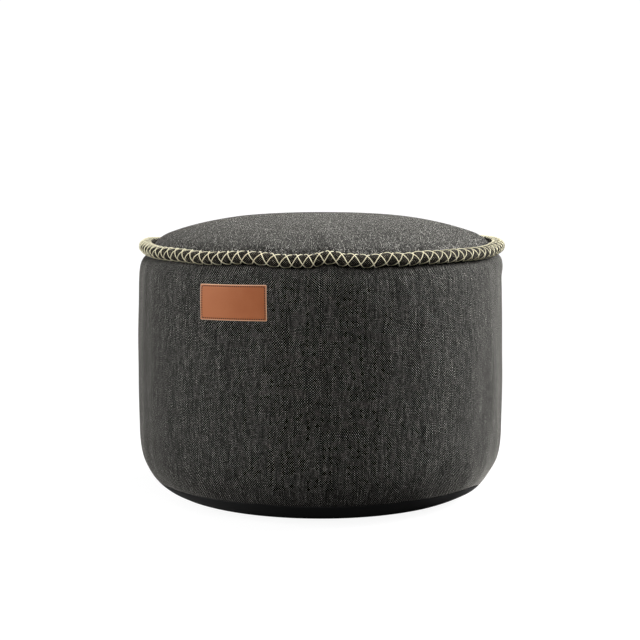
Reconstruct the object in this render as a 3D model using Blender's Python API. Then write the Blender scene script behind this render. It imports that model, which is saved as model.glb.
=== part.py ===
# Drum footstool: a pouf of heavy grey cloth filled with light beads, with a crowned top,
# a soft rolled rim laced with natural yarn, a dished black base and a leather patch.
# Metres, +Z up. It stands on z = 0 and its front faces -Y. Azimuths are in degrees, counted
# from the front towards +X, and a profile is rows of (radius, height).

import math
from collections import namedtuple

import bpy
import bmesh
import numpy as np
from mathutils import Matrix

# Overall form
CROWN_HEIGHT = 0.391
RIM_HEIGHT = 0.3504
RIM_REACH = 0.250
FOOT_RADIUS = 0.135

# Turned pieces: a point of every ring falls on the middle of the front pleats
SEGMENTS = 72
FIRST_AZIMUTH = 1.7

# Cloth and the clearance between two pieces that touch
CLOTH = 0.0020
GAP = 0.0003

# Lower edge: a rounded quarter from the flat foot up to the belly, as a superellipse
LOWER_RADIUS = 0.2512
LOWER_HEIGHT = 0.104
LOWER_POWER = 2.72
BASE_SEAM_ANGLE = 50.5
BASE_SEAM_OPENING = 0.3

# Crown: flat in the middle, falling faster towards the rim and rolling down into its seam
CROWN_FALL = 0.0406
CROWN_SPREAD = 0.2455
CROWN_POWER = 3.24
ROLL_START = 0.205
ROLL_FALL = 0.0080
CROWN_RADII = (0, 0.075, 0.135, 0.180, 0.207, 0.222)

# Welt: the seam allowances of top and side, rolled outwards into an oval
WELT_HALF_WIDTH = 0.0080
WELT_HALF_HEIGHT = 0.0063
WELT_SIDES = 8

# Lacing: three yarns go round the rim as waves over the welt, a third of a wave apart,
# so they cross in two rows. A yarn going down lies over one that comes up.
YARNS = 3
WAVES = 33
STEPS_PER_WAVE = 12
LACING_START = -0.94
YARN_WIDTH = 0.0020
YARN_THICKNESS = 0.0011
YARN_BEDDING = 0.0012
YARN_LIFT = 0.0017
LACING_MIDDLE = 15.0
LACING_SWING = 111.0
LACING_POINT = 0.985

# Leather patch on the side
PATCH_WIDTH = 0.0965
PATCH_HEIGHT = 0.046
PATCH_THICKNESS = 0.0018
PATCH_CORNER = 0.0013
PATCH_AZIMUTH = -26.7
PATCH_MIDDLE = 0.2926
PATCH_TILT = 1.4
PATCH_CLEARANCE = 0.0005

WELT_RADIUS = RIM_REACH - WELT_HALF_WIDTH - YARN_BEDDING - YARN_LIFT - YARN_THICKNESS * 2 / 3
RIM_SEAM_RADIUS = WELT_RADIUS - WELT_HALF_WIDTH - GAP
SHEET_STEP = CLOTH + GAP

ProfileRow = namedtuple("ProfileRow", "radius height")
RimWave = namedtuple("RimWave", "azimuth lift spread")
Pleat = namedtuple("Pleat", "azimuth depth spread middle length")

# Side from the belly up to the seam under the welt: it draws in below the rim
UPPER_SIDE = (
    ProfileRow(radius=0.2520, height=0.160),
    ProfileRow(radius=0.2519, height=0.220),
    ProfileRow(radius=0.2508, height=0.270),
    ProfileRow(radius=0.2500, height=0.300),
    ProfileRow(radius=0.2485, height=0.3190),
    ProfileRow(radius=0.2450, height=0.3310),
    ProfileRow(radius=0.2390, height=0.3378),
    ProfileRow(radius=0.2330, height=0.3415),
)

# Where the rim rides up or down round the drum
RIM_WAVES = (
    RimWave(azimuth=0, lift=-0.0039, spread=26),
    RimWave(azimuth=-62, lift=-0.0030, spread=38),
    RimWave(azimuth=60, lift=-0.0040, spread=36),
    RimWave(azimuth=-36, lift=-0.0025, spread=14),
    RimWave(azimuth=-12, lift=-0.0014, spread=7),
    RimWave(azimuth=2.5, lift=0.0046, spread=6),
    RimWave(azimuth=16, lift=-0.0032, spread=7),
    RimWave(azimuth=26, lift=-0.0037, spread=8),
    RimWave(azimuth=36, lift=-0.0018, spread=14),
    RimWave(azimuth=116, lift=-0.0024, spread=28),
    RimWave(azimuth=152, lift=0.0028, spread=18),
    RimWave(azimuth=190, lift=-0.0010, spread=14),
    RimWave(azimuth=210, lift=0.0022, spread=15),
    RimWave(azimuth=245, lift=-0.0044, spread=34),
    RimWave(azimuth=266, lift=0.0014, spread=16),
)

# Upright pleats below the rim and puckers over the base seam; a negative depth is a trough
PLEATS = (
    Pleat(azimuth=16.7, depth=0.0010, spread=5, middle=0.300, length=0.036),
    Pleat(azimuth=21.7, depth=-0.0016, spread=5, middle=0.312, length=0.042),
    Pleat(azimuth=26.7, depth=0.0010, spread=5, middle=0.300, length=0.040),
    Pleat(azimuth=31.7, depth=-0.0014, spread=6, middle=0.310, length=0.045),
    Pleat(azimuth=-55, depth=-0.0010, spread=8, middle=0.305, length=0.050),
    Pleat(azimuth=66.7, depth=-0.0012, spread=8, middle=0.305, length=0.050),
    Pleat(azimuth=106.7, depth=-0.0016, spread=7, middle=0.308, length=0.045),
    Pleat(azimuth=141.7, depth=-0.0014, spread=7, middle=0.305, length=0.050),
    Pleat(azimuth=171.7, depth=-0.0016, spread=6, middle=0.310, length=0.042),
    Pleat(azimuth=-146, depth=-0.0014, spread=7, middle=0.305, length=0.048),
    Pleat(azimuth=-103, depth=-0.0016, spread=7, middle=0.308, length=0.045),
    Pleat(azimuth=92, depth=0.0018, spread=50, middle=0.326, length=0.020),
    Pleat(azimuth=92, depth=0.0045, spread=50, middle=0.345, length=0.035),
    Pleat(azimuth=8, depth=0.0012, spread=12, middle=0.040, length=0.045),
    Pleat(azimuth=44, depth=-0.0014, spread=12, middle=0.045, length=0.045),
)

# Gathers all the way round below the rim, and the slow unevenness of a hand-filled drum
GATHERS = 17
GATHER_DEPTH = 0.0005
GATHER_LENGTH = 0.060
UNEVEN_DEPTH = 0.0010
WIDEST_AZIMUTH = -63
CROWN_LEAN = 0.0005

# The cloth shifts only outside the inner radius, and rides with the rim above the lower height
STILL_RADIUS = 0.12
FREE_RADIUS = 0.22
RIM_EFFECT_START = 0.270
RIM_EFFECT_FULL = 0.335


def bell(distance):
    # 1 at the middle, smoothly 0 from a distance of 1 outwards
    inside = np.clip(1 - distance * distance, 0, 1)
    return inside * inside


def rise(value, start, end):
    # 0 up to the start, smoothly 1 from the end
    t = np.clip((value - start) / (end - start), 0, 1)
    return t * t * (3 - 2 * t)


def angle_from(azimuth, middle):
    return (azimuth - middle + 180) % 360 - 180


def settle(points):
    """Moves points of the plain turned form to where the filled cloth has settled."""
    x, y, z = np.asarray(points, dtype=float).T
    radius = np.hypot(x, y)
    azimuth = np.degrees(np.arctan2(x, -y))
    free = rise(radius, STILL_RADIUS, FREE_RADIUS)
    near_rim = rise(z, RIM_EFFECT_START, RIM_EFFECT_FULL)

    lift = CROWN_LEAN * x / RIM_REACH
    for wave in RIM_WAVES:
        lift = lift + wave.lift * free * bell(angle_from(azimuth, wave.azimuth) / wave.spread)

    gathers = GATHER_DEPTH * np.cos(np.radians(GATHERS * azimuth))
    uneven = UNEVEN_DEPTH * np.cos(np.radians(2 * (azimuth - WIDEST_AZIMUTH)))
    shift = gathers * bell((z - RIM_HEIGHT) / GATHER_LENGTH) + uneven * rise(z, 0, LOWER_HEIGHT)
    for pleat in PLEATS:
        across = bell(angle_from(azimuth, pleat.azimuth) / pleat.spread)
        shift = shift + pleat.depth * across * bell((z - pleat.middle) / pleat.length)
    return on_drum(radius + shift * free, azimuth, z + lift * near_rim)


def on_drum(radius, azimuth, height):
    # Points at a distance from the drum's axis, an azimuth and a height
    turn = np.radians(azimuth)
    return np.column_stack((radius * np.sin(turn), -radius * np.cos(turn), height))


def lower_curve(angle):
    sine = np.sin(np.radians(angle)) ** (2 / LOWER_POWER)
    cosine = np.cos(np.radians(angle)) ** (2 / LOWER_POWER)
    radius = FOOT_RADIUS + (LOWER_RADIUS - FOOT_RADIUS) * sine
    return np.column_stack((radius, LOWER_HEIGHT * (1 - cosine)))


def crown_height(radius):
    roll = np.clip((radius - ROLL_START) / (RIM_SEAM_RADIUS - ROLL_START), 0, 1)
    fall = CROWN_FALL * (radius / CROWN_SPREAD) ** CROWN_POWER
    return CROWN_HEIGHT - fall - ROLL_FALL * roll ** 3


def inset(profile, depth):
    # Shifts a profile to its left by the depth; an end on the axis stays on it
    along = np.gradient(profile, axis=0)
    along /= np.linalg.norm(along, axis=1)[:, None]
    moved = profile + depth * np.column_stack((-along[:, 1], along[:, 0]))
    moved[profile[:, 0] == 0, 0] = 0
    return moved


def base_profile():
    # Outside of the base, from the axis over the foot up to its seam
    curve = lower_curve(np.linspace(0, BASE_SEAM_ANGLE, 6))
    return np.vstack(((0, 0), curve))


def crown_profile():
    # Outside of the top, from its seam inwards to the axis
    radii = np.array((RIM_SEAM_RADIUS,) + CROWN_RADII[::-1])
    return np.column_stack((radii, crown_height(radii)))


def side_profile():
    # Outside of the side, from the base seam up to the rim seam
    lower = lower_curve(np.linspace(BASE_SEAM_ANGLE + BASE_SEAM_OPENING, 90, 5))
    rim_seam = (RIM_SEAM_RADIUS, crown_height(RIM_SEAM_RADIUS) - SHEET_STEP)
    return np.vstack((lower, UPPER_SIDE, rim_seam))


def make_object(name, bm, material, sharp_angle=50):
    mesh = bpy.data.meshes.new(name)
    bmesh.ops.recalc_face_normals(bm, faces=bm.faces)
    bm.to_mesh(mesh)
    bm.free()
    mesh.shade_smooth()
    mesh.set_sharp_from_angle(angle=math.radians(sharp_angle))
    mesh.materials.append(material)
    piece = bpy.data.objects.new(name, mesh)
    bpy.context.scene.collection.objects.link(piece)
    return piece


def turn_profile(name, profile, material, closed=False):
    """Turns a profile about Z into a solid and settles it."""
    bm = bmesh.new()
    start = on_drum(profile[:, 0], FIRST_AZIMUTH, profile[:, 1])
    verts = [bm.verts.new(point) for point in start]
    edges = [bm.edges.new(pair) for pair in zip(verts, verts[1:])]
    if closed:
        edges.append(bm.edges.new((verts[-1], verts[0])))
    bmesh.ops.spin(
        bm, geom=verts + edges, cent=(0, 0, 0), axis=(0, 0, 1),
        angle=2 * math.pi, steps=SEGMENTS, use_merge=True,
    )
    bmesh.ops.remove_doubles(bm, verts=bm.verts, dist=0.00001)
    settled = settle([vert.co for vert in bm.verts])
    for vert, point in zip(bm.verts, settled):
        vert.co = point
    return make_object(name, bm, material)


def make_drum(material):
    # Side cloth with its filling; it carries the top, and the base lies under it
    under_base = inset(base_profile(), SHEET_STEP)
    under_crown = inset(crown_profile(), SHEET_STEP)
    profile = np.vstack((under_base, side_profile(), under_crown[1:]))
    return turn_profile("drum", profile, material)


def make_top_panel(material):
    outside = crown_profile()
    inside = inset(outside, CLOTH)
    inside[0] = outside[0] - (0, CLOTH)
    return turn_profile("top_panel", np.vstack((outside[::-1], inside)), material)


def make_base_panel(material):
    outside = base_profile()
    return turn_profile("base_panel", np.vstack((outside, inset(outside, CLOTH)[::-1])), material)


def welt_section(angle, proud=0.0):
    # Point of the welt's oval at an angle: 0 faces outwards and 90 is on top
    turn = np.radians(angle)
    radius = WELT_RADIUS + (WELT_HALF_WIDTH + proud) * np.cos(turn)
    return radius, RIM_HEIGHT + (WELT_HALF_HEIGHT + proud) * np.sin(turn)


def make_rim_welt(material):
    angles = np.arange(WELT_SIDES) * 360 / WELT_SIDES
    return turn_profile("rim_welt", np.column_stack(welt_section(angles)), material, closed=True)


def make_lacing(number, material):
    """One yarn: its angle on the welt swings between the two seams while it goes round."""
    steps = WAVES * STEPS_PER_WAVE
    share = np.arange(steps) / steps
    wave = 2 * math.pi * WAVES * share
    swing = np.arcsin(LACING_POINT * np.sin(wave)) / math.asin(LACING_POINT)
    proud = YARN_BEDDING + YARN_LIFT * (1 - np.cos(wave)) / 2
    radius, height = welt_section(LACING_MIDDLE + LACING_SWING * swing, proud)
    azimuth = LACING_START + 360 * (share + number / (YARNS * WAVES))
    path = settle(on_drum(radius, azimuth, height))
    welt_core = settle(on_drum(WELT_RADIUS, azimuth, np.full(steps, RIM_HEIGHT)))

    along = np.roll(path, -1, axis=0) - np.roll(path, 1, axis=0)
    along /= np.linalg.norm(along, axis=1)[:, None]
    outward = path - welt_core
    outward -= along * np.sum(outward * along, axis=1)[:, None]
    outward /= np.linalg.norm(outward, axis=1)[:, None]
    across = np.cross(along, outward) * YARN_WIDTH
    outward *= YARN_THICKNESS

    # Three long edges: two that lie on the welt and the ridge between them
    bm = bmesh.new()
    edges = []
    for side, out in ((-1 / 2, -1 / 3), (1 / 2, -1 / 3), (0, 2 / 3)):
        edges.append([bm.verts.new(point) for point in path + across * side + outward * out])
    for here, there in zip(edges, edges[1:] + edges[:1]):
        for i in range(steps):
            j = (i + 1) % steps
            bm.faces.new((here[i], here[j], there[j], there[i]))
    return make_object(f"lacing_yarn_{number + 1}", bm, material, sharp_angle=180)


def make_patch(material):
    """A thin leather plate that is bent round the side of the drum."""
    bm = bmesh.new()
    bmesh.ops.create_grid(bm, x_segments=8, y_segments=3, size=0.5)
    corners = [vert for vert in bm.verts if len(vert.link_faces) == 1]
    bmesh.ops.scale(bm, vec=(PATCH_WIDTH, PATCH_HEIGHT, 1), verts=bm.verts)
    bmesh.ops.bevel(bm, geom=corners, offset=PATCH_CORNER, segments=2, profile=0.5, affect="VERTICES")
    bmesh.ops.rotate(bm, matrix=Matrix.Rotation(math.radians(PATCH_TILT), 3, "Z"), verts=bm.verts)

    # The leather keeps its straight edges where the cloth under it has settled lower, so the
    # plain height of each point is stepped until it settles at the height of the flat plate
    side = side_profile()
    across, up, _ = np.array([vert.co for vert in bm.verts]).T
    azimuth = PATCH_AZIMUTH + np.degrees(across / LOWER_RADIUS)
    plain = PATCH_MIDDLE + up
    for _ in range(6):
        radius = np.interp(plain, side[:, 1], side[:, 0]) + PATCH_CLEARANCE
        points = settle(on_drum(radius, azimuth, plain))
        plain = plain + PATCH_MIDDLE + up - points[:, 2]
    for vert, point in zip(bm.verts, points):
        vert.co = point

    bm.normal_update()
    back = list(bm.faces)
    if back[0].normal.y > 0:
        bmesh.ops.reverse_faces(bm, faces=back)
    bmesh.ops.solidify(bm, geom=back, thickness=-PATCH_THICKNESS)
    return make_object("leather_patch", bm, material)


def make_material(name, colour, roughness, sheen=0.0):
    material = bpy.data.materials.new(name)
    material.use_nodes = True
    shader = material.node_tree.nodes["Principled BSDF"]
    shader.inputs["Base Color"].default_value = (*colour, 1)
    shader.inputs["Roughness"].default_value = roughness
    shader.inputs["Metallic"].default_value = 0
    shader.inputs["Sheen Weight"].default_value = sheen
    return material


def main():
    for old in list(bpy.data.objects):
        bpy.data.objects.remove(old)
    make_drum(make_material("charcoal_side_cloth", (0.055, 0.054, 0.051), 0.95, sheen=0.2))
    make_top_panel(make_material("charcoal_top_cloth", (0.060, 0.059, 0.056), 0.95, sheen=0.2))
    make_base_panel(make_material("black_coated_cloth", (0.010, 0.010, 0.010), 0.5))
    make_rim_welt(make_material("charcoal_welt_cloth", (0.040, 0.039, 0.036), 0.95))
    yarn = make_material("natural_yarn", (0.62, 0.56, 0.42), 0.85, sheen=0.1)
    for number in range(YARNS):
        make_lacing(number, yarn)
    make_patch(make_material("tan_leather", (0.36, 0.13, 0.06), 0.55))


main()
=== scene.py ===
# Looks of the drum footstool: a pouf of heavy grey cloth filled with light beads, with a
# crowned top, a rolled rim laced with natural yarn, a dished black base and a leather patch.
# Metres, +Z up, the front towards -Y. Azimuths are degrees from the front towards +X.

import math

import bpy
import numpy as np
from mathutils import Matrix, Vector


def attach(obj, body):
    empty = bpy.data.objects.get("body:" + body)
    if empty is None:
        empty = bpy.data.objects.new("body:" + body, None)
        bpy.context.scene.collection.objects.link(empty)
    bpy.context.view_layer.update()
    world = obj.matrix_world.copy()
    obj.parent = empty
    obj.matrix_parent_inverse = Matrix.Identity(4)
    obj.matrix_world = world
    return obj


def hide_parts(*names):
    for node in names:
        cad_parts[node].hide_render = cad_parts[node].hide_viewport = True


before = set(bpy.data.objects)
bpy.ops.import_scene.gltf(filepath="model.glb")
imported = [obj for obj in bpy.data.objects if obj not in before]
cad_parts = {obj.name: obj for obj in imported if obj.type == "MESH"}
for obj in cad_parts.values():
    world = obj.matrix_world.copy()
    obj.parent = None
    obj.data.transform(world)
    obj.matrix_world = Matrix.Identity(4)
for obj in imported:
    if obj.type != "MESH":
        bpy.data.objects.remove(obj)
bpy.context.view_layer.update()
print("frame loaded")

# The drum's own form, as the solids have it
drum = dict(
    crownHeight=0.391,
    rimHeight=0.3504,
    rimReach=0.250,
    footRadius=0.135,
    lowerRadius=0.2512,
    lowerHeight=0.104,
    lowerPower=2.72,
    baseSeamAngle=50.5,
    crownFall=0.0406,
    crownSpread=0.2455,
    crownPower=3.24,
    rollStart=0.205,
    rollFall=0.0080,
    rimSeamRadius=0.23007,
    clothStep=0.0023,
    cloth=0.0020,
    # radius and height of the side, from the belly to the seam under the rim
    upperSide=[(0.2520, 0.160), (0.2519, 0.220), (0.2508, 0.270), (0.2500, 0.300),
               (0.2485, 0.3190), (0.2450, 0.3310), (0.2390, 0.3378), (0.2330, 0.3415)],
)

# Where the filled cloth has settled: the rim's ups and downs (azimuth, lift, spread), pleats and
# puckers of the side (azimuth, depth, spread, middle height, half length), ridges that run
# inwards on the crown (azimuth, height, spread, middle radius, half length), and the waves of
# the base seam (azimuth, lift, spread)
settled = dict(
    rimWaves=[(0, -0.0039, 26), (-62, -0.0030, 38), (60, -0.0040, 36), (-36, -0.0025, 14),
              (-12, -0.0014, 7), (2.5, 0.0046, 6), (16, -0.0032, 7), (26, -0.0037, 8),
              (36, -0.0018, 14), (116, -0.0024, 28), (152, 0.0028, 18), (190, -0.0010, 14),
              (210, 0.0022, 15), (245, -0.0044, 34), (266, 0.0014, 16)],
    pleats=[(16.7, 0.0010, 5, 0.300, 0.036), (21.7, -0.0016, 5, 0.312, 0.042),
            (26.7, 0.0010, 5, 0.300, 0.040), (31.7, -0.0014, 6, 0.310, 0.045),
            (-55, -0.0010, 8, 0.305, 0.050), (66.7, -0.0012, 8, 0.305, 0.050),
            (106.7, -0.0016, 7, 0.308, 0.045), (141.7, -0.0014, 7, 0.305, 0.050),
            (171.7, -0.0016, 6, 0.310, 0.042), (-146, -0.0014, 7, 0.305, 0.048),
            (-103, -0.0016, 7, 0.308, 0.045), (92, 0.0018, 50, 0.326, 0.020),
            (92, 0.0045, 50, 0.345, 0.035),
            (8, 0.0012, 12, 0.040, 0.045), (44, -0.0014, 12, 0.045, 0.045)],
    crownRidges=[(3, 0.0012, 4, 0.200, 0.050), (29, 0.0010, 3, 0.212, 0.022),
                 (33, -0.0012, 3, 0.214, 0.020), (-40, 0.0008, 5, 0.205, 0.035),
                 (75, 0.0010, 5, 0.205, 0.040), (128, 0.0012, 5, 0.200, 0.045),
                 (174, -0.0010, 4, 0.208, 0.030), (214, 0.0012, 5, 0.203, 0.040),
                 (262, -0.0010, 4, 0.208, 0.030), (305, 0.0010, 5, 0.203, 0.040)],
    seamWaves=[(29, 0.0014, 5), (36, 0.0010, 4), (-20, 0.0008, 7), (64, 0.0010, 6),
               (112, -0.0010, 9), (160, 0.0012, 7), (205, -0.0008, 8), (248, 0.0010, 7),
               (300, 0.0010, 6), (84, -0.0075, 26), (54, 0.0016, 14),
               (-92, -0.0045, 20)],
    seamSlope=0.875,
    gathers=17,
    gatherDepth=0.0005,
    gatherLength=0.060,
    unevenDepth=0.0010,
    widestAzimuth=-63,
    crownLean=0.0005,
)


def bell(distance):  # (1 - d^2)^2 inside a distance of 1, and 0 outside
    inside = np.clip(1 - distance * distance, 0, 1)
    return inside * inside


def rise(value, start, end):  # 3t^2 - 2t^3 from 0 at the start to 1 at the end
    t = np.clip((value - start) / (end - start), 0, 1)
    return t * t * (3 - 2 * t)


def angleFrom(azimuth, middle):  # the shorter way round, -180 to 180
    return (azimuth - middle + 180) % 360 - 180


def onDrum(radius, azimuth, height):  # (r sin a, -r cos a, z)
    turn = np.radians(azimuth)
    return np.stack(np.broadcast_arrays(radius * np.sin(turn), -radius * np.cos(turn), height), -1)


def settle(points):
    # A point keeps its azimuth. Its radius changes by the gathers, the slow unevenness and the
    # pleats; its height by the rim's waves and the crown's ridges. The waves of the base seam
    # slide it along the curve of the lower edge.
    x, y, z = np.moveaxis(points, -1, 0)
    radius = np.hypot(x, y)
    azimuth = np.degrees(np.arctan2(x, -y))
    free = rise(radius, 0.12, 0.22)
    lift = settled["crownLean"] * x / drum["rimReach"]
    for middle, height, spread in settled["rimWaves"]:
        lift = lift + height * free * bell(angleFrom(azimuth, middle) / spread)
    lift = lift * rise(z, 0.270, 0.335)
    onTop = rise(z, 0.352, 0.356)
    for middle, height, spread, place, length in settled["crownRidges"]:
        ridge = bell(angleFrom(azimuth, middle) / spread) * bell((radius - place) / length)
        lift = lift + height * ridge * onTop
    slide = 0.0
    for middle, height, spread in settled["seamWaves"]:
        slide = slide + height * bell(angleFrom(azimuth, middle) / spread) * bell((z - 0.0294) / 0.028)
    lift = lift + slide
    gathers = settled["gatherDepth"] * np.cos(np.radians(settled["gathers"] * azimuth))
    uneven = settled["unevenDepth"] * np.cos(np.radians(2 * (azimuth - settled["widestAzimuth"])))
    shift = gathers * bell((z - drum["rimHeight"]) / settled["gatherLength"])
    shift = shift + uneven * rise(z, 0, drum["lowerHeight"]) + slide * settled["seamSlope"]
    for middle, depth, spread, place, length in settled["pleats"]:
        across = bell(angleFrom(azimuth, middle) / spread)
        shift = shift + depth * across * bell((z - place) / length)
    return onDrum(radius + shift * free, azimuth, z + lift)


def lowerCurve(angle):
    # Superellipse from the foot to the belly: r = foot + reach sin^(2/p), z = height (1 - cos^(2/p))
    sine = np.sin(np.radians(angle)) ** (2 / drum["lowerPower"])
    cosine = np.cos(np.radians(angle)) ** (2 / drum["lowerPower"])
    reach = drum["lowerRadius"] - drum["footRadius"]
    return np.column_stack((drum["footRadius"] + reach * sine, drum["lowerHeight"] * (1 - cosine)))


def crownHeight(radius):
    # Height less fall (r / spread)^power, less a cubic roll from the roll's start to the rim seam
    roll = np.clip((radius - drum["rollStart"]) / (drum["rimSeamRadius"] - drum["rollStart"]), 0, 1)
    fall = drum["crownFall"] * (radius / drum["crownSpread"]) ** drum["crownPower"]
    return drum["crownHeight"] - fall - drum["rollFall"] * roll ** 3


def smoothLine(rows, count):
    # Catmull-Rom spline through the rows, then points evenly spaced along its length
    rows = np.asarray(rows, dtype=float)
    padded = np.vstack((2 * rows[0] - rows[1], rows, 2 * rows[-1] - rows[-2]))
    a, b, c, d = padded[:-3, None], padded[1:-2, None], padded[2:-1, None], padded[3:, None]
    t = (np.arange(16) / 16)[None, :, None]
    curve = 0.5 * (2 * b + (c - a) * t + (2 * a - 5 * b + 4 * c - d) * t ** 2
                   + (3 * b - a - 3 * c + d) * t ** 3)
    curve = np.vstack((curve.reshape(-1, rows.shape[1]), rows[-1]))
    walked = np.append(0, np.cumsum(np.linalg.norm(np.diff(curve, axis=0), axis=1)))
    even = np.linspace(0, walked[-1], count)
    return np.column_stack([np.interp(even, walked, column) for column in curve.T])


def inset(profile, depth):  # the profile moved to its left by a depth, with axis points kept on the axis
    along = np.gradient(profile, axis=0)
    along /= np.linalg.norm(along, axis=1)[:, None]
    moved = profile + depth * np.column_stack((-along[:, 1], along[:, 0]))
    moved[profile[:, 0] == 0, 0] = 0
    return moved


def show(name, mesh, stands=None):
    mesh.shade_smooth()
    piece = bpy.data.objects.new(name, mesh)
    bpy.context.scene.collection.objects.link(piece)
    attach(piece, "root")
    if stands:
        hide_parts(stands)
    return piece


def gridMesh(name, points, uv, tube=False):
    # points[row, column] as quads, with the columns closed into a ring, and with tube the rows as
    # well. Rows that meet the axis become one point. uv has one more row and column than faces.
    rows, columns = points.shape[:2]
    index = np.arange(rows * columns).reshape(rows, columns)
    if not tube:
        onAxis = np.hypot(points[..., 0], points[..., 1]).max(axis=1) < 1e-6
        index[onAxis] = index[onAxis, :1]
    right = np.roll(index, -1, axis=1)
    if tube:
        corners = (index, right, np.roll(right, -1, axis=0), np.roll(index, -1, axis=0))
    else:
        corners = (index[:-1], right[:-1], right[1:], index[1:])
    faces = np.stack(corners, -1).reshape(-1, 4)
    corner = np.stack((uv[:-1, :-1], uv[:-1, 1:], uv[1:, 1:], uv[1:, :-1]), 2).reshape(-1, 4, 2)

    place = points.reshape(-1, 3)
    a, b, c, d = (place[faces[:, i]] for i in range(4))
    volume = np.sum(a * np.cross(b, c)) + np.sum(a * np.cross(c, d))
    if volume < 0:  # turned so that the faces look outwards
        faces, corner = faces[:, ::-1], corner[:, ::-1]

    flat = faces != np.roll(faces, -1, axis=1)  # a quad on the axis loses its repeated corner
    used, vertex = np.unique(faces[flat], return_inverse=True)
    sizes = flat.sum(axis=1)
    starts = np.append(0, np.cumsum(sizes)[:-1])
    mesh = bpy.data.meshes.new(name)
    mesh.vertices.add(len(used))
    mesh.vertices.foreach_set("co", place[used].astype(np.float32).ravel())
    mesh.loops.add(len(vertex))
    mesh.loops.foreach_set("vertex_index", vertex.astype(np.int32).ravel())
    mesh.polygons.add(len(sizes))
    mesh.polygons.foreach_set("loop_start", starts.astype(np.int32))
    mesh.update(calc_edges=True)
    mesh.validate()
    layer = mesh.uv_layers.new(name="cloth")
    layer.data.foreach_set("uv", corner[flat].astype(np.float32).ravel())
    return mesh


def turned(name, profile, columns, plan=False, tube=False, change=None):
    # The profile turned about Z and settled. The UV map is the share round the drum and the share
    # along the profile, or with plan the place seen from above in metres.
    azimuth = 360 * np.arange(columns + 1) / columns
    plain = onDrum(profile[:, :1], azimuth[None, :], profile[:, 1:])
    if tube:
        plain = np.concatenate((plain, plain[:1]))
    if plan:
        uv = plain[..., :2]
    else:
        rows = plain.shape[0]
        steps = np.linalg.norm(np.diff(plain[:, 0], axis=0), axis=1)
        along = np.append(0, np.cumsum(steps)) / steps.sum()
        uv = np.stack(np.broadcast_arrays(azimuth[None, :] / 360, along[:, None]), -1)
    if tube:
        plain = plain[:-1]
    points = settle(plain[:, :-1])
    if change:
        points = change(points, azimuth[:-1])
    return gridMesh(name, points, uv, tube)


# Shader maths

class Num:  # a value in a node tree: arithmetic on it adds Math nodes
    def __init__(self, graph, socket):
        self.graph = graph
        self.socket = socket

    def math(self, operation, *values):
        return self.graph.node("ShaderNodeMath", dict(operation=operation), dict(enumerate(values)))

    def __add__(self, other): return self.math("ADD", self, other)
    def __radd__(self, other): return self.math("ADD", other, self)
    def __sub__(self, other): return self.math("SUBTRACT", self, other)
    def __rsub__(self, other): return self.math("SUBTRACT", other, self)
    def __mul__(self, other): return self.math("MULTIPLY", self, other)
    def __rmul__(self, other): return self.math("MULTIPLY", other, self)
    def __truediv__(self, other): return self.math("DIVIDE", self, other)
    def __pow__(self, other): return self.math("POWER", self, other)
    def __rpow__(self, other): return self.math("POWER", other, self)
    def __mod__(self, other): return self.math("FLOORED_MODULO", self, other)
    def floor(self): return self.math("FLOOR", self)
    def fract(self): return self.math("FRACT", self)
    def cos(self): return self.math("COSINE", self)

    def between(self, low, high):  # 0 below the low value, 1 above the high one, smooth in between
        settings = dict(interpolation_type="SMOOTHSTEP")
        return self.graph.node("ShaderNodeMapRange", settings, {0: self, 1: low, 2: high})


class Graph:  # a material, its nodes and the constants of its shader
    def __init__(self, name, fixed):
        self.material = bpy.data.materials.new(name)
        self.material.use_nodes = True
        self.tree = self.material.node_tree
        self.shader = self.tree.nodes["Principled BSDF"]
        for socket, value in fixed.items():
            self.shader.inputs[socket].default_value = value

    def node(self, kind, settings=None, values=None, output=0):
        made = self.tree.nodes.new(kind)
        for key, value in (settings or {}).items():
            setattr(made, key, value)
        self.feed(made, values or {})
        return Num(self, made.outputs[output])

    def feed(self, node, values):
        for key, value in values.items():
            if isinstance(value, Num):
                self.tree.links.new(value.socket, node.inputs[key])
            else:
                node.inputs[key].default_value = value

    def finish(self, colour, roughness, normal):
        self.feed(self.shader, {"Base Color": colour, "Roughness": roughness, "Normal": normal})
        return self.material

    def parts(self, vector):  # its x, y and z
        x = self.node("ShaderNodeSeparateXYZ", None, {0: vector})
        return [Num(self, socket) for socket in x.socket.node.outputs]

    def uv(self):  # the two numbers of the piece's own UV map
        return self.parts(self.node("ShaderNodeUVMap", dict(uv_map="cloth")))[:2]

    def objectPlace(self):
        return self.node("ShaderNodeTexCoord", output=3)

    def vector(self, x, y, z):
        return self.node("ShaderNodeCombineXYZ", None, {0: x, 1: y, 2: z})

    def noise(self, place, scale, detail):
        values = {"Vector": place, "Scale": scale, "Detail": detail}
        return self.node("ShaderNodeTexNoise", None, values)

    def random(self, place):  # one number from 0 to 1 for each place
        return self.node("ShaderNodeTexWhiteNoise", dict(noise_dimensions="3D"), {"Vector": place})

    def mix(self, share, first, second):  # numbers
        return self.node("ShaderNodeMix", None, {0: share, 2: first, 3: second})

    def blend(self, share, first, second):  # colours: a link, or red, green and blue
        first, second = ((*c, 1) if isinstance(c, tuple) else c for c in (first, second))
        settings = dict(data_type="RGBA")
        return self.node("ShaderNodeMix", settings, {0: share, 6: first, 7: second}, output=2)

    def shade(self, colour, amount):  # the colour times a number
        return self.node("ShaderNodeVectorMath", dict(operation="SCALE"), {0: colour, 3: amount})

    def bump(self, height, distance):
        return self.node("ShaderNodeBump", None, {"Height": height, "Distance": distance})


# All weaves: how many threads their uneven spacing reaches across and along, the length of a
# weft's slubs, how steeply a float falls to its ends, and the fineness and depth of its hair
weaving = dict(
    driftAcross=18,
    driftAlong=60,
    weftSlubLength=26,
    fall=1.35,
    hairScale=2.3,
    hairDepth=0.5,
)


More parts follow.
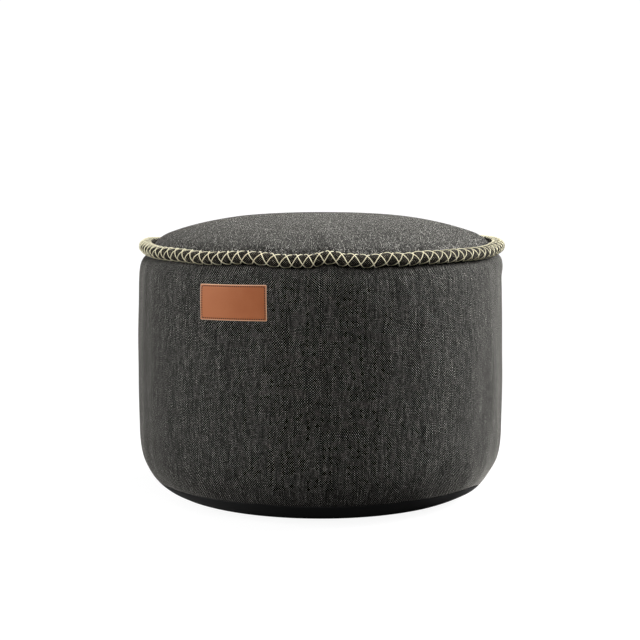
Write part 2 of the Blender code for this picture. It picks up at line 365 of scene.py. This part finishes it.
def weave(name, look):
    # Plain weave: pale warps and dark wefts cross in a chequer of cells, spaced a little
    # unevenly. A thread's tone is a power of 2 of the slubs along it, of soft streaks over several
    # threads and of tufts over a few cells. Each float is a dome that gives the bump. Painted shade
    # darkens the colour towards a float's ends and sides, down to black below the look's low
    # height, for the shadow in the gaps between threads.
    g = Graph(name, {"Sheen Weight": look["sheen"], "Sheen Roughness": look["sheenRoughness"],
                     "Sheen Tint": (*look["sheenTint"], 1), "Specular IOR Level": 0.05})
    seed = look["seed"]
    across, along = g.uv()
    u = across * look["warps"]
    v = along * look["wefts"]
    near, far = weaving["driftAcross"], weaving["driftAlong"]
    warpDrift = g.noise(g.vector(u / near, v / far, seed + 11), 1.0, 1.0) - 0.5
    weftDrift = g.noise(g.vector(u / far, v / near, seed + 13), 1.0, 1.0) - 0.5
    u = u + warpDrift * look["drift"]
    v = v + weftDrift * look["drift"]
    column = u.floor()
    row = v.floor()
    warpOver = (column + row) % 2

    streakPlace = g.vector(u / look["streakWidth"], v / look["streakLength"], seed + 4)
    streak = g.noise(streakPlace, 1.0, 2.0) - 0.5
    start = g.random(g.vector(column + 0.5, seed, 3.5)) * 7
    tuftRow = (v / look["tuftLength"] + start).floor()
    tuft = g.random(g.vector(column + 0.5, tuftRow, seed + 2)) - 0.5
    shared = streak * look["streak"] + tuft * look["tuft"]
    warpSlub = g.noise(g.vector(column * 7.31, v / look["slubLength"], seed), 1.0, 1.0) - 0.5
    weftPlace = g.vector(u / weaving["weftSlubLength"], row * 5.77, seed + 9)
    weftSlub = g.noise(weftPlace, 1.0, 1.0) - 0.5
    warpTone = 2 ** (warpSlub * look["slub"] + shared) * look["warpTone"]
    weftTone = 2 ** (weftSlub * look["slub"] + shared) * look["weftTone"]
    tone = g.mix(warpOver, weftTone, warpTone)

    x = (u.fract() - 0.5) * 2
    y = (v.fract() - 0.5) * 2
    warpDome = (1 - x * x) * (y * weaving["fall"]).cos()
    weftDome = (1 - y * y) * (x * weaving["fall"]).cos()
    dome = g.mix(warpOver, weftDome, warpDome)
    # painted shade: the colour falls to black towards a float's ends and sides, below the look's low
    # height
    colour = g.shade(look["tint"], tone * dome.between(look["low"], 1))
    hair = g.noise(g.vector(u * weaving["hairScale"], v * weaving["hairScale"], seed), 1.0, 2.0)
    relief = dome + hair * weaving["hairDepth"]
    return g.finish(colour=colour, roughness=0.9, normal=g.bump(relief, look["bump"]))


# Leather patch, sewn on near its edge. The side lies smooth under it, so its values come first.
patch = dict(
    width=0.0965,
    height=0.046,
    thickness=0.0018,
    corner=0.0013,
    azimuth=-26.7,
    middle=0.2926,
    tilt=1.4,
    sunk=0.0003,
    edge=0.0004,
    stitchInset=0.0024,
    stitchPitch=0.0031,
    stitchLength=0.0022,
    stitchRadius=0.0006,
    stitchArch=0.00022,
    furrow=0.00035,
    furrowReach=0.0016,
    grid=(194, 94),
    bunching=0.4,
    # how far from the edge the raw edge's colour fades out
    edgeFade=(0.0005, 0.0013),
    colour=(0.240, 0.0693, 0.0229),
    paleColour=(0.305, 0.106, 0.0433),
    edgeColour=(0.62, 0.385, 0.25),
    fibreColour=(0.40, 0.20, 0.10),
    threadColour=(0.030, 0.009, 0.004),
    deepThreadColour=(0.016, 0.005, 0.002),
)

# Side cloth: the drum with its filling
sideCloth = dict(
    columns=720,
    sideRows=92,
    hemRadius=0.0012,
    hemDepth=0.0035,
    # the strip that the cloth simulation blows out: rows and columns, its length, how much wider
    # it is at the seams and everywhere, and the small waves that start its puckers
    strip=(34, 200),
    stripLength=0.33,
    ease=0.05,
    slack=0.003,
    easeReach=0.06,
    seedWaves=(24, 50, 9),
    seedDepth=0.0004,
    seedStart=0.012,
    seedFade=(0.03, 0.14),
    seedLoss=0.7,
    simulation=dict(quality=6, mass=0.02, tension_stiffness=40, compression_stiffness=40,
                    shear_stiffness=10, bending_stiffness=20, use_pressure=True,
                    uniform_pressure_force=1.0),
    frames=20,
    # how its puckers are laid on the side: passes of smoothing before and after, the depth, and
    # where they fade round the patch, over the base seam and under the rim
    passes=(2, 5),
    relief=2.4,
    mostMoved=0.0022,
    patchReach=(15, 0.036),
    patchFade=(0.78, 1.25),
    seamFade=0.016,
    rimFade=(0.326, 0.338),
    leastRadius=0.2,
    look=dict(
        warps=1100, wefts=534, seed=1.0, warpTone=0.425, weftTone=0.006, drift=5.0,
        slub=3.2, slubLength=26, streak=0.9, streakWidth=6, streakLength=110,
        tuft=1.6, tuftLength=3, low=0.65, bump=0.00012, tint=(1.0, 0.975, 0.90),
        sheen=0.30, sheenRoughness=0.30, sheenTint=(1.0, 0.965, 0.89),
    ),
)


def basePath(count):  # outside of the base, from the foot's edge to its seam
    return lowerCurve(np.linspace(0, drum["baseSeamAngle"], count))


def crownPath(count):  # outside of the top, from the rim seam to the axis, its rows closer at the rim
    radii = drum["rimSeamRadius"] * (1 - np.linspace(0, 1, count) ** 1.15)
    return np.column_stack((radii, crownHeight(radii)))


def sidePath(count):  # outside of the side, from the base seam to the rim seam
    lower = lowerCurve(np.linspace(drum["baseSeamAngle"] + 0.3, 90, 12))
    end = (drum["rimSeamRadius"], crownHeight(drum["rimSeamRadius"]) - drum["clothStep"])
    return smoothLine(np.vstack((lower, drum["upperSide"], end)), count)


def hem(corner, along, inward, radius, depth, count=5):
    # A cloth's edge turned in at a seam: a quarter circle from along the cloth to inwards
    turn = np.linspace(0, math.pi / 2, count)[:, None]
    middle = corner - along * radius + inward * radius
    arc = middle + radius * (np.sin(turn) * along - np.cos(turn) * inward)
    return np.vstack((arc, corner + inward * depth))


def ringWaves(azimuth, low, high, count, seed):  # sines of seeded counts round the drum
    dice = np.random.default_rng(seed)
    turns = dice.integers(low, high, count)
    starts = dice.uniform(0, 2 * math.pi, count)
    return np.sin(np.radians(azimuth)[..., None] * turns + starts).sum(-1) / math.sqrt(count)


def blowStrip():
    # A strip of the side cloth, cut a little too wide for its seams, held by both seams and blown
    # out by cloth simulation. Gives heights and how far each point has moved outwards, less the
    # mean of its row.
    rows, columns = sideCloth["strip"]
    profile = sidePath(rows)
    azimuth = 360 * np.arange(columns) / columns
    low, high, count = sideCloth["seedWaves"]
    seeds = ringWaves(azimuth, low, high, count, 5) * sideCloth["seedDepth"]
    walked = np.linspace(0, 1, rows)[:, None] * sideCloth["stripLength"]
    fromSeam = np.minimum(walked, sideCloth["stripLength"] - walked)
    seeds = seeds * rise(fromSeam, 0, sideCloth["seedStart"])
    seeds = seeds * (1 - rise(fromSeam, *sideCloth["seedFade"]) * sideCloth["seedLoss"])
    start = onDrum(profile[:, :1] + seeds, azimuth[None, :], profile[:, 1:])
    wider = 1 + sideCloth["slack"] + sideCloth["ease"] * (1 - rise(fromSeam, 0, sideCloth["easeReach"]))
    cut = start * np.concatenate((wider, wider, np.ones_like(wider)), -1)[:, None, :]

    index = np.arange(rows * columns).reshape(rows, columns)
    right = np.roll(index, -1, axis=1)
    quads = np.stack((index[:-1], right[:-1], right[1:], index[1:]), -1).reshape(-1, 4)
    mesh = bpy.data.meshes.new("strip")
    mesh.from_pydata(start.reshape(-1, 3).tolist(), [], quads.tolist())
    strip = bpy.data.objects.new("strip", mesh)
    bpy.context.scene.collection.objects.link(strip)
    strip.shape_key_add(name="Basis")
    restShape = strip.shape_key_add(name="cut")
    restShape.data.foreach_set("co", cut.astype(np.float32).ravel())
    held = strip.vertex_groups.new(name="seams")
    held.add(index[0].tolist() + index[-1].tolist(), 1.0, "REPLACE")

    cloth = strip.modifiers.new("cloth", "CLOTH")
    for key, value in sideCloth["simulation"].items():
        setattr(cloth.settings, key, value)
    cloth.settings.vertex_group_mass = "seams"
    cloth.settings.rest_shape_key = restShape
    cloth.settings.effector_weights.gravity = 0
    cloth.point_cache.frame_start = 1
    cloth.point_cache.frame_end = sideCloth["frames"]
    for frameNumber in range(1, sideCloth["frames"] + 1):
        bpy.context.scene.frame_set(frameNumber)
    blown = strip.evaluated_get(bpy.context.evaluated_depsgraph_get()).to_mesh()
    after = np.empty(rows * columns * 3, dtype=np.float32)
    blown.vertices.foreach_get("co", after)
    after = after.reshape(rows, columns, 3).astype(float)
    moved = np.hypot(after[..., 0], after[..., 1]) - profile[:, :1]
    moved -= moved.mean(axis=1, keepdims=True)
    bpy.data.objects.remove(strip)
    bpy.data.meshes.remove(mesh)
    bpy.context.scene.frame_set(1)
    return profile[:, 1], moved


def softened(field, passes):  # each pass averages a point with its neighbours, weights 1 2 1
    for step in range(passes):
        field = (np.roll(field, 1, 1) + 2 * field + np.roll(field, -1, 1)) / 4
        edged = np.pad(field, ((1, 1), (0, 0)), mode="edge")
        field = (edged[:-2] + 2 * field + edged[2:]) / 4
    return field


def puckered(points, azimuth):
    # Adds the blown strip's puckers, read at each point's azimuth and height and capped by a
    # hyperbolic tangent. They fade towards both seams and under the leather patch.
    before, after = sideCloth["passes"]
    heights, moved = blowStrip()
    moved = softened(moved, before)
    columns = moved.shape[1]
    place = azimuth / 360 * columns
    left = np.floor(place).astype(int)
    share = place - left
    atAzimuth = moved[:, left % columns] * (1 - share) + moved[:, (left + 1) % columns] * share
    z = points[..., 2]
    outwards = [np.interp(z[:, i], heights, atAzimuth[:, i]) for i in range(len(azimuth))]
    outwards = softened(np.stack(outwards, 1), after)
    most = sideCloth["mostMoved"]
    outwards = most * np.tanh(outwards * sideCloth["relief"] / most)

    reachAcross, reachUp = sideCloth["patchReach"]
    across = np.abs(angleFrom(azimuth, patch["azimuth"])[None, :]) / reachAcross
    up = np.abs(z - patch["middle"]) / reachUp
    outwards = outwards * rise(np.maximum(across, up), *sideCloth["patchFade"])
    outwards = outwards * rise(z, heights[0], heights[0] + sideCloth["seamFade"])
    outwards = outwards * (1 - rise(z, *sideCloth["rimFade"]))
    radius = np.hypot(points[..., 0], points[..., 1])
    outwards = outwards * (radius > sideCloth["leastRadius"])
    flatPlace = points[..., :2] * (1 + outwards / np.maximum(radius, 0.01))[..., None]
    return np.concatenate((flatPlace, points[..., 2:]), -1)


def makeSide():
    # Profile: axis, under the base, turned hem, side, under the crown, axis
    under = inset(np.vstack(((0, 0), basePath(9))), drum["clothStep"])
    side = sidePath(sideCloth["sideRows"])
    along = (side[0] - side[1]) / np.linalg.norm(side[0] - side[1])
    inward = np.array((along[1], -along[0]))
    turnedIn = hem(side[0], along, inward, sideCloth["hemRadius"], sideCloth["hemDepth"])[::-1]
    cover = inset(crownPath(12), drum["clothStep"])
    profile = np.vstack((under[:-1], turnedIn, side[2:], cover[1:]))
    mesh = turned("sideCloth", profile, sideCloth["columns"], change=puckered)
    mesh.materials.append(weave("sideWeave", sideCloth["look"]))
    piece = show("sideCloth", mesh, "drum")


makeSide()
print("side cloth made")

# Top cloth: a round panel, sewn down under the rim
topCloth = dict(
    columns=480,
    rows=60,
    seamAllowance=0.012,
    look=dict(
        warps=700, wefts=900, seed=3.0, warpTone=0.39, weftTone=0.027, drift=4.0,
        slub=0.0, slubLength=8, streak=0.3, streakWidth=6, streakLength=40,
        tuft=3.6, tuftLength=2.6, low=0.6, bump=0.0004, tint=(1.0, 0.975, 0.90),
        sheen=0.10, sheenRoughness=0.35, sheenTint=(1.0, 0.965, 0.89),
    ),
)


def makeTop():
    outside = crownPath(topCloth["rows"])
    inside = inset(outside, drum["cloth"])[::6]
    inside[-1] = outside[-1] - (0, drum["cloth"])
    profile = np.vstack((outside[::-1], inside))
    mesh = turned("topCloth", profile, topCloth["columns"], plan=True)
    mesh.materials.append(weave("topWeave", topCloth["look"]))
    piece = show("topCloth", mesh, "top_panel")


makeTop()
print("top cloth made")

# Base: smooth coated cloth, flat on the floor in the middle
baseCloth = dict(
    columns=480,
    rows=36,
    flatSize=0.524,
    hemRadius=0.0012,
    hemDepth=0.0032,
    colour=(0.0075, 0.0075, 0.0077),
    paleColour=(0.015, 0.015, 0.0153),
    roughness=0.50,
)


def baseMaterial():
    g = Graph("blackCoating", {"Specular IOR Level": 0.15, "Sheen Weight": 0.05,
                               "Sheen Roughness": 0.4})
    place = g.objectPlace()
    cloud = g.noise(place, 22, 3.0)
    fine = g.noise(place, 900, 2.0)
    colour = g.blend(cloud, baseCloth["colour"], baseCloth["paleColour"])
    rough = cloud * 0.16 + (baseCloth["roughness"] - 0.08)
    return g.finish(colour=colour, roughness=rough, normal=g.bump(fine, 0.00006))


def makeBase():
    outside = np.vstack(((0, 0), (0.05, 0), (0.10, 0), basePath(baseCloth["rows"])))
    along = (outside[-1] - outside[-2]) / np.linalg.norm(outside[-1] - outside[-2])
    inward = np.array((-along[1], along[0]))
    inside = inset(outside, drum["cloth"])[::-4]
    turnedIn = hem(outside[-1], along, inward, baseCloth["hemRadius"], baseCloth["hemDepth"])
    inside[-1] = (0, drum["cloth"])
    profile = np.vstack((outside[:-2], turnedIn, inside[1:]))
    mesh = turned("baseCloth", profile, baseCloth["columns"], plan=True)
    mesh.materials.append(baseMaterial())
    piece = show("baseCloth", mesh, "base_panel")


makeBase()
print("base made")

# Rim: the seam allowances rolled outwards and laced over with three yarns. Each yarn is a wave
# over the welt, a third of a wave after the one before, so they cross in two rows.
rim = dict(
    weltRadius=0.23837,
    halfWidth=0.0080,
    halfHeight=0.0063,
    columns=990,
    sides=30,
    # how far the welt puffs out, the share lost under a yarn and how far from it, and the mean
    # radii of the welt's section and of its ring that measure this
    puff=0.0016,
    puffLoss=0.65,
    puffReach=0.0028,
    sectionRadius=0.0072,
    ringRadius=0.245,
    yarns=3,
    waves=33,
    start=-0.94,
    middle=15,
    swing=111,
    point=0.985,
    yarnRadius=0.00054,
    twists=20,
    flatness=0.86,
    # how uneven the yarns are: degrees along the rim, degrees round the welt, share of thickness
    unevenStep=0.16,
    unevenAngle=5,
    unevenYarn=0.12,
    bedding=0.0012,
    lift=0.0014,
    stepsPerWave=96,
    yarnSides=8,
    # where the stitches run ahead or behind round the rim: azimuth, degrees, spread
    drift=[(-9, 0.75, 14), (6, -1.0, 18), (60, 0.5, 20), (130, -0.7, 22), (200, 0.6, 18),
           (255, -0.6, 20), (318, 0.5, 20)],
    weltLook=dict(
        warps=1100, wefts=36, seed=7.0, warpTone=0.24, weftTone=0.006, drift=2.0,
        slub=3.0, slubLength=12, streak=1.5, streakWidth=9, streakLength=110,
        tuft=2.0, tuftLength=2, low=0.55, bump=0.0002, tint=(1.0, 0.90, 0.72),
        sheen=0.05, sheenRoughness=0.35, sheenTint=(1.0, 0.95, 0.85),
    ),
    yarnColour=(0.84, 0.80, 0.59),
    # the dark colour of the yarn's fibres and dirt, also its painted shade between the plies
    darkYarnAndPlyShade=(0.50, 0.44, 0.26),
)


def wander(azimuth, seed):  # small uneven steps round the rim: five sines, about 1 at most
    dice = np.random.default_rng(seed)
    turns = dice.integers(23, 120, 5)
    starts = dice.uniform(0, 2 * math.pi, 5)
    wave = np.radians(azimuth)[..., None] * turns + starts
    return np.sin(wave).sum(-1) / 3


def lacedAngle(azimuth, number):
    # Phase and angle on the welt of one yarn, at azimuths round the rim
    ahead = azimuth - rim["start"] - 360 * number / (rim["yarns"] * rim["waves"])
    for middle, shift, spread in rim["drift"]:
        ahead = ahead - shift * bell(angleFrom(azimuth, middle) / spread)
    ahead = ahead - rim["unevenStep"] * wander(azimuth, 11 + number)
    phase = np.radians(ahead * rim["waves"])
    bend = np.arcsin(rim["point"] * np.sin(phase)) / math.asin(rim["point"])
    aside = rim["unevenAngle"] * wander(azimuth, 31 + number)
    return phase, rim["middle"] + rim["swing"] * bend + aside


def weltPoint(angle, proud):  # radius and height at an angle: 0 outwards, 90 on top
    turn = np.radians(angle)
    radius = rim["weltRadius"] + (rim["halfWidth"] + proud) * np.cos(turn)
    return radius, drum["rimHeight"] + (rim["halfHeight"] + proud) * np.sin(turn)


def makeWelt():
    # The oval ring puffs out between the yarns and gives way under them, by a bell of the
    # distance to the nearest yarn
    angle = 360 * np.arange(rim["sides"]) / rim["sides"]
    profile = np.column_stack(weltPoint(angle, 0))

    def puffed(points, azimuth):
        nearest = np.full((len(angle), len(azimuth)), 1.0)
        for number in range(rim["yarns"]):
            here = lacedAngle(azimuth, number)[1]
            slope = np.gradient(here, azimuth)
            along = angleFrom(angle[:, None], here[None, :]) * math.radians(rim["sectionRadius"])
            steep = np.hypot(1, slope * rim["sectionRadius"] / rim["ringRadius"])
            nearest = np.minimum(nearest, np.abs(along) / steep)
        core = settle(onDrum(rim["weltRadius"], azimuth, drum["rimHeight"]))
        outward = points - core[None]
        outward /= np.linalg.norm(outward, axis=-1)[..., None]
        puff = rim["puff"] * (1 - rim["puffLoss"] * bell(nearest / rim["puffReach"]))
        return points + outward * puff[..., None]

    mesh = turned("rimWelt", profile, rim["columns"], tube=True, change=puffed)
    mesh.materials.append(weave("weltWeave", rim["weltLook"]))
    piece = show("rimWelt", mesh, "rim_welt")


def yarnMaterial():
    # Two plies twisted: a diagonal stripe round the yarn, lower between the plies, where painted shade
    # darkens its colour; random fibres and dirt darken it too
    g = Graph("naturalYarn", {"Sheen Weight": 0.3, "Sheen Roughness": 0.4})
    along, around = g.uv()
    turns = along * (rim["waves"] * rim["twists"]) + around
    twist = (turns * (4 * math.pi)).cos() * 0.5 + 0.5
    fibre = g.noise(g.vector(along * 9000, around * 6, 0), 1.0, 2.0)
    dirt = g.noise(g.objectPlace(), 60, 2.0)
    # painted shade: the twist darkens the colour between the plies
    share = (twist * 0.35 + fibre * 0.5 + dirt * 0.3).between(0.25, 0.85)
    colour = g.blend(share, rim["darkYarnAndPlyShade"], rim["yarnColour"])
    return g.finish(colour=colour, roughness=0.8, normal=g.bump(twist + fibre * 0.4, 0.0003))


def makeYarn(number, material):
    # A flattened tube along the yarn's wave: centre + r (cos t across, flatness sin t outwards)
    steps = rim["waves"] * rim["stepsPerWave"]
    azimuth = 360 * np.arange(steps) / steps
    phase, angle = lacedAngle(azimuth, number)
    proud = rim["bedding"] + rim["lift"] * (1 - np.cos(phase)) / 2
    radius, height = weltPoint(angle, proud)
    path = settle(onDrum(radius, azimuth, height))
    core = settle(onDrum(rim["weltRadius"], azimuth, np.full(steps, drum["rimHeight"])))
    along = np.roll(path, -1, axis=0) - np.roll(path, 1, axis=0)
    along /= np.linalg.norm(along, axis=1)[:, None]
    outward = path - core
    outward -= along * np.sum(outward * along, axis=1)[:, None]
    outward /= np.linalg.norm(outward, axis=1)[:, None]
    across = np.cross(along, outward)
    turn = 2 * math.pi * np.arange(rim["yarnSides"])[:, None, None] / rim["yarnSides"]
    thick = rim["yarnRadius"] * (1 + rim["unevenYarn"] * wander(azimuth, 51 + number))
    thick = thick[None, :, None]
    points = path + thick * (np.cos(turn) * across + rim["flatness"] * np.sin(turn) * outward)
    share = np.linspace(0, 1, steps + 1)[None, :]
    girth = np.linspace(0, 1, rim["yarnSides"] + 1)[:, None]
    uv = np.stack(np.broadcast_arrays(share, girth), -1)
    mesh = gridMesh(f"lacingYarn{number + 1}", points, uv, tube=True)
    mesh.materials.append(material)
    show(f"lacingYarn{number + 1}", mesh, f"lacing_yarn_{number + 1}")


makeWelt()
yarn = yarnMaterial()
for number in range(rim["yarns"]):
    makeYarn(number, yarn)
print("rim made")


def onSide(across, up, proud):
    # A point of the patch's plane, turned by its tilt, laid round the settled side. Its edges stay
    # straight: the plain height is stepped until the point settles at its own height.
    tilt = math.radians(patch["tilt"])
    right = across * math.cos(tilt) - up * math.sin(tilt)
    height = patch["middle"] + across * math.sin(tilt) + up * math.cos(tilt)
    side = sidePath(200)
    azimuth = patch["azimuth"] + np.degrees(right / drum["lowerRadius"])
    plain = height
    for step in range(6):
        radius = np.interp(plain, side[:, 1], side[:, 0]) + proud
        points = settle(onDrum(radius, azimuth, plain))
        plain = plain + height - points[..., 2]
    return points


def outline(count, within):
    # Points evenly round a rectangle with round corners, within the patch's edge
    halfWidth = patch["width"] / 2 - within
    halfHeight = patch["height"] / 2 - within
    corner = max(patch["corner"] - within, 0.0006)
    turn = np.linspace(0, math.pi / 2, 7)
    arc = corner * np.column_stack((np.cos(turn), np.sin(turn))) - corner
    arc = arc + (halfWidth, halfHeight)
    ring = np.vstack((arc, (arc * (-1, 1))[::-1], arc * (-1, -1), (arc * (1, -1))[::-1], arc[:1]))
    walked = np.append(0, np.cumsum(np.linalg.norm(np.diff(ring, axis=0), axis=1)))
    even = np.linspace(0, walked[-1], count, endpoint=False)
    return np.column_stack([np.interp(even, walked, column) for column in ring.T])


def leatherMaterial():
    # Paler towards its left and in clouds, and like the cut edge where it is rounded; fine pores
    g = Graph("tanLeather", {"Specular IOR Level": 0.12})
    place = g.objectPlace()
    cloud = g.noise(place, 26, 4.0)
    cells = {"Vector": place, "Scale": 1100.0}
    pores = g.node("ShaderNodeTexVoronoi", dict(feature="DISTANCE_TO_EDGE"), cells)
    grain = g.noise(place, 1500, 3.0)
    leftwards = g.parts(place)[0] * -9 - 0.4
    share = (leftwards * 0.5 + cloud * 0.9 - 0.1).between(0.1, 0.9)
    colour = g.blend(share, patch["colour"], patch["paleColour"])
    fromEdge = g.uv()[1]
    colour = g.blend(1 - fromEdge.between(*patch["edgeFade"]), colour, patch["edgeColour"])
    height = pores.between(0.0, 0.25) * 0.6 + grain * 0.5
    return g.finish(colour=colour, roughness=cloud * 0.15 + 0.42, normal=g.bump(height, 0.00012))


def cutEdgeMaterial():
    g = Graph("cutLeather", {"Sheen Weight": 0.2})
    fibre = g.noise(g.objectPlace(), 1800, 2.0)
    colour = g.blend(fibre, patch["fibreColour"], patch["edgeColour"])
    return g.finish(colour=colour, roughness=0.8, normal=g.bump(fibre, 0.0002))


def makePatch():
    # A grid over the patch, closer near its edges by a share of a sine: its corners are drawn in
    # to quarter circles, its border sinks by a quarter circle, and a furrow runs under the
    # stitches by a bell of the distance to them. Solidify gives it its thickness, and the cut
    # edge a leather of its own.
    half = np.array((patch["width"], patch["height"])) / 2
    turn = math.pi / 2 * 0.96
    lines = []
    for count in patch["grid"]:
        even = np.linspace(-1, 1, count)
        closer = np.sin(even * turn) / math.sin(turn)
        lines.append((1 - patch["bunching"]) * even + patch["bunching"] * closer)
    share = np.stack(np.meshgrid(*lines), -1)
    flat = np.abs(share) * half
    corner = patch["corner"]
    out = np.clip(flat - (half - corner), 0, None) / corner
    both = (out > 0).all(axis=-1)
    drawnIn = out.max(axis=-1) / np.maximum(np.linalg.norm(out, axis=-1), 1e-9)
    out = out * np.where(both, drawnIn, 1)[..., None]
    flat = np.where(both[..., None], half - corner + out * corner, flat)
    fromCorner = np.where(both, corner * (1 - np.linalg.norm(out, axis=-1)), 1)
    fromEdge = np.minimum((half - flat).min(axis=-1), fromCorner)
    place = flat * np.sign(share)

    border = np.clip(1 - fromEdge / patch["edge"], 0, 1)
    rounded = patch["edge"] * (1 - np.sqrt(1 - border * border))
    furrow = patch["furrow"] * bell((fromEdge - patch["stitchInset"]) / patch["furrowReach"])
    proud = patch["thickness"] - patch["sunk"] - rounded - furrow
    points = onSide(place[..., 0], place[..., 1], proud)

    rows, columns = points.shape[:2]
    index = np.arange(rows * columns).reshape(rows, columns)
    quads = np.stack((index[:-1, :-1], index[:-1, 1:], index[1:, 1:], index[1:, :-1]), -1)
    quads = quads.reshape(-1, 4)
    mesh = bpy.data.meshes.new("leatherPatch")
    mesh.from_pydata(points.reshape(-1, 3).tolist(), [], quads.tolist())
    mesh.update()
    layer = mesh.uv_layers.new(name="cloth")
    uv = np.stack((place[..., 0], fromEdge), -1).reshape(-1, 2)
    layer.data.foreach_set("uv", uv[quads.ravel()].astype(np.float32).ravel())
    mesh.materials.append(leatherMaterial())
    mesh.materials.append(cutEdgeMaterial())
    piece = show("leatherPatch", mesh, "leather_patch")
    solid = piece.modifiers.new("thickness", "SOLIDIFY")
    solid.thickness = patch["thickness"] - patch["edge"]
    solid.offset = -1
    solid.material_offset_rim = 1


def makeStitches():
    # Capsules end to end round the inset outline, each bent down at its ends
    length = 2 * (patch["width"] + patch["height"] - 4 * patch["stitchInset"])
    number = int(length / patch["stitchPitch"])
    middle = outline(number, patch["stitchInset"])
    ahead = np.roll(middle, -1, axis=0) - middle
    ahead /= np.linalg.norm(ahead, axis=1)[:, None]
    middle = middle + ahead * patch["stitchPitch"] / 2
    aside = np.column_stack((-ahead[:, 1], ahead[:, 0]))
    t = np.linspace(-1, 1, 7)
    turn = 2 * math.pi * np.arange(6) / 6
    thick = patch["stitchRadius"] * np.sqrt(np.clip(1 - t ** 4, 0.02, 1))
    step = t * patch["stitchLength"] / 2
    wide = thick[:, None] * np.cos(turn)
    plan = (middle[:, None, None] + ahead[:, None, None] * step[None, :, None, None]
            + aside[:, None, None] * wide[None, :, :, None])
    out = thick[:, None] * np.sin(turn) + patch["stitchArch"] * (1 - t[:, None] ** 2)
    out = out + patch["thickness"] - patch["sunk"] - patch["furrow"]
    points = onSide(plan[..., 0], plan[..., 1], np.broadcast_to(out, plan.shape[:-1]))
    vertices = points.reshape(-1, 3)
    index = np.arange(len(vertices)).reshape(points.shape[:3])
    right = np.roll(index, -1, axis=2)
    quads = np.stack((index[:, :-1], index[:, 1:], right[:, 1:], right[:, :-1]), -1)
    quads = quads.reshape(-1, 4)
    mesh = bpy.data.meshes.new("patchStitches")
    ends = index[:, 0].tolist() + index[:, -1, ::-1].tolist()
    mesh.from_pydata(vertices.tolist(), [], quads.tolist() + ends)
    mesh.update()
    g = Graph("brownThread", {})
    fibre = g.noise(g.objectPlace(), 2600, 1.0)
    colour = g.blend(fibre, patch["deepThreadColour"], patch["threadColour"])
    mesh.materials.append(g.finish(colour=colour, roughness=0.7, normal=g.bump(fibre, 0.0001)))
    show("patchStitches", mesh)


makePatch()
makeStitches()
print("patch made")

# Studio: a pale floor that fades into a white surround, soft lights and the camera
studio = dict(
    floorRadius=3.0,
    floorHeight=-0.0002,
    floorFade=(0.5, 1.1),
    floorColour=(0.08, 0.08, 0.08),
    floorGlow=0.92,
    surround=1.05,
    ambient=0.01,
    cameraPlace=(-0.0007, -2.6, 0.547),
    cameraPitch=6.64,
    lens=105.8,
    # name, place, what it is aimed at, size, watts
    lights=[
        ("overhead", (0.0, 0.0, 2.4), (0, 0, 0.2), 2.2, 1),
        ("right", (2.4, 0.2, 1.5), (0, 0, 0.25), 1.4, 158),
        ("rightBack", (2.3, 1.1, 1.7), (0, 0, 0.25), 1.2, 92),
        ("leftBack", (-2.3, 1.1, 1.7), (0, 0, 0.25), 1.2, 23),
        ("front", (0.0, -3.2, 2.0), (0, 0, 0.2), 2.0, 97),
        ("left", (-2.4, -0.6, 1.0), (0, 0, 0.2), 1.2, 67),
    ],
)


def makeFloor():
    # A disc, with rings from the middle to the edge, that fades out with the distance
    radii = np.append(0, np.geomspace(0.05, studio["floorRadius"], 40))
    points = onDrum(radii[:, None], 360 * np.arange(97) / 96, studio["floorHeight"])
    mesh = gridMesh("floor", points[:, :-1], points[..., :2])
    g = Graph("paleFloor", {"Base Color": (*studio["floorColour"], 1), "Roughness": 0.7,
                            "Emission Color": (1, 1, 1, 1),
                            "Emission Strength": studio["floorGlow"]})
    x, y, z = g.parts(g.objectPlace())
    away = (x * x + y * y) ** 0.5
    g.feed(g.shader, {"Alpha": 1 - away.between(*studio["floorFade"])})
    mesh.materials.append(g.material)
    floor = bpy.data.objects.new("floor", mesh)
    bpy.context.scene.collection.objects.link(floor)
    floor.visible_diffuse = False
    floor.visible_glossy = False


def makeSurround():
    world = bpy.data.worlds.new("surround")
    bpy.context.scene.world = world
    world.use_nodes = True
    nodes, links = world.node_tree.nodes, world.node_tree.links
    seen = nodes.new("ShaderNodeLightPath")
    mix = nodes.new("ShaderNodeMixShader")
    white = nodes["Background"]
    white.inputs[0].default_value = (1, 1, 1, 1)
    white.inputs[1].default_value = studio["surround"]
    soft = nodes.new("ShaderNodeBackground")
    soft.inputs[0].default_value = (1, 1, 1, 1)
    soft.inputs[1].default_value = studio["ambient"]
    links.new(seen.outputs["Is Camera Ray"], mix.inputs[0])
    links.new(soft.outputs[0], mix.inputs[1])
    links.new(white.outputs[0], mix.inputs[2])
    links.new(mix.outputs[0], nodes["World Output"].inputs[0])


def makeLight(name, place, aim, size, watts):
    data = bpy.data.lights.new(name, "AREA")
    data.shape = "SQUARE"
    data.size = size
    data.energy = watts
    light = bpy.data.objects.new(name, data)
    light.location = place
    light.rotation_euler = (Vector(aim) - Vector(place)).to_track_quat("-Z", "Y").to_euler()
    light.visible_camera = False
    bpy.context.scene.collection.objects.link(light)


def makeCamera():
    data = bpy.data.cameras.new("camera")
    data.lens = studio["lens"]
    data.sensor_width = 36
    camera = bpy.data.objects.new("camera", data)
    camera.location = studio["cameraPlace"]
    camera.rotation_euler = (math.radians(90 - studio["cameraPitch"]), 0, 0)
    bpy.context.scene.collection.objects.link(camera)
    bpy.context.scene.camera = camera


makeFloor()
makeSurround()
for values in studio["lights"]:
    makeLight(*values)
makeCamera()
bpy.context.scene.view_settings.view_transform = "Standard"
print("studio made")
